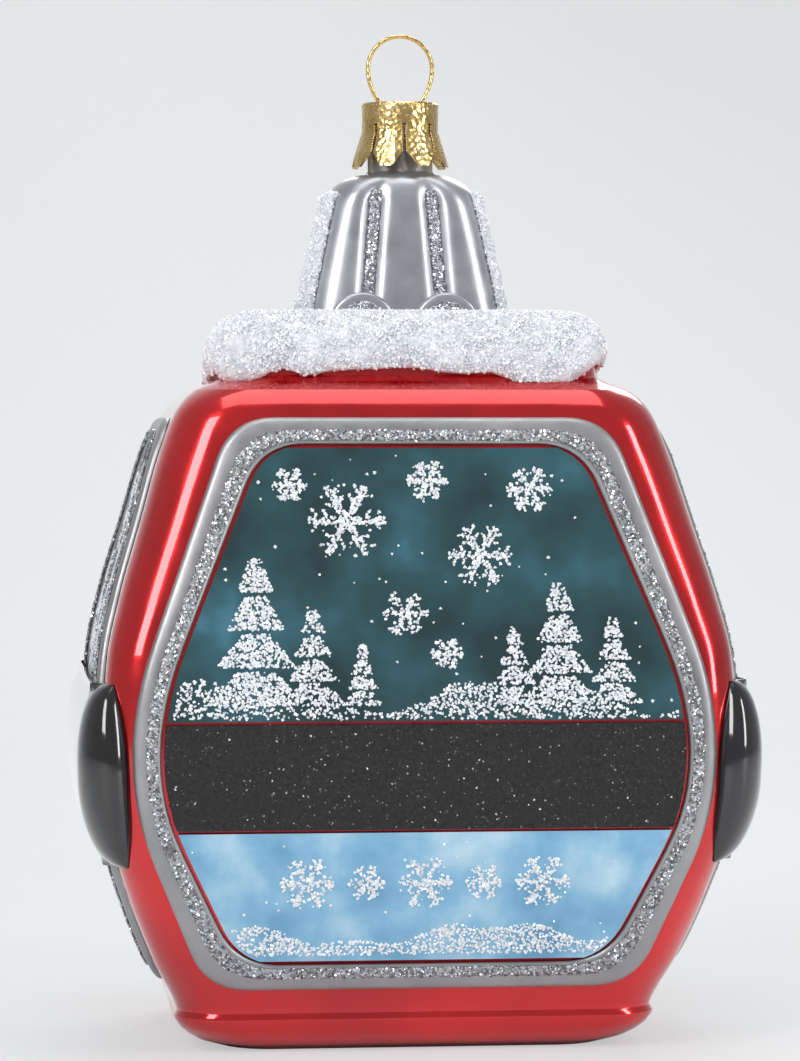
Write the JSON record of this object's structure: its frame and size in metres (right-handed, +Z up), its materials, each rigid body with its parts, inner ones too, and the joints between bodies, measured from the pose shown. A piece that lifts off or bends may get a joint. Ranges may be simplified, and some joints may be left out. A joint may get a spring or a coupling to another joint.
{
  "type": "glass gondola cabin tree ornament",
  "caption": "Blown-glass tree ornament shaped as a gondola cabin with relief windows, bumpers, glitter snow and a pull-off gilt crown cap with a wire loop.",
  "frame": {"origin": "centre of the flat base, on the surface the ornament stands on", "axes": "+Z up through neck and loop, front window faces -Y, bumpers on the +X and -X sides"},
  "size_m": [0.0788, 0.0604, 0.1192],
  "materials": {
    "red_lacquered_glass": "gloss",
    "satin_silver_glass": "satin",
    "satin_silver_frame": "satin",
    "dark_pane": "gloss",
    "sky_pane": "gloss",
    "black_glitter": "glitter",
    "silver_glitter": "glitter",
    "black_lacquer": "gloss",
    "snow_glitter": "glitter",
    "gilt_metal": "polished"
  },
  "bodies": {
    "glass": {"cabin_glass": "red_lacquered_glass", "hanger_glass": "satin_silver_glass", "front_frame": "satin_silver_frame", "back_frame": "satin_silver_frame", "left_frame": "satin_silver_frame", "right_frame": "satin_silver_frame", "upper_panes": "dark_pane", "lower_panes": "sky_pane", "belt_bands": "black_glitter", "frame_glitter": "silver_glitter", "left_bumper": "black_lacquer", "right_bumper": "black_lacquer", "roof_snow": "snow_glitter", "left_hanger_snow": "snow_glitter", "right_hanger_snow": "snow_glitter", "hanger_glitter": "silver_glitter", "wheel_glitter": "silver_glitter"},
    "cap": {"crown_cap": "gilt_metal", "hanging_loop": "gilt_metal"}
  },
  "joints": [
    {"name": "cap_pull", "type": "slide", "parent": "glass", "child": "cap", "axis": [0, 0, 1], "range_m": [0, 0.015]}
  ]
}
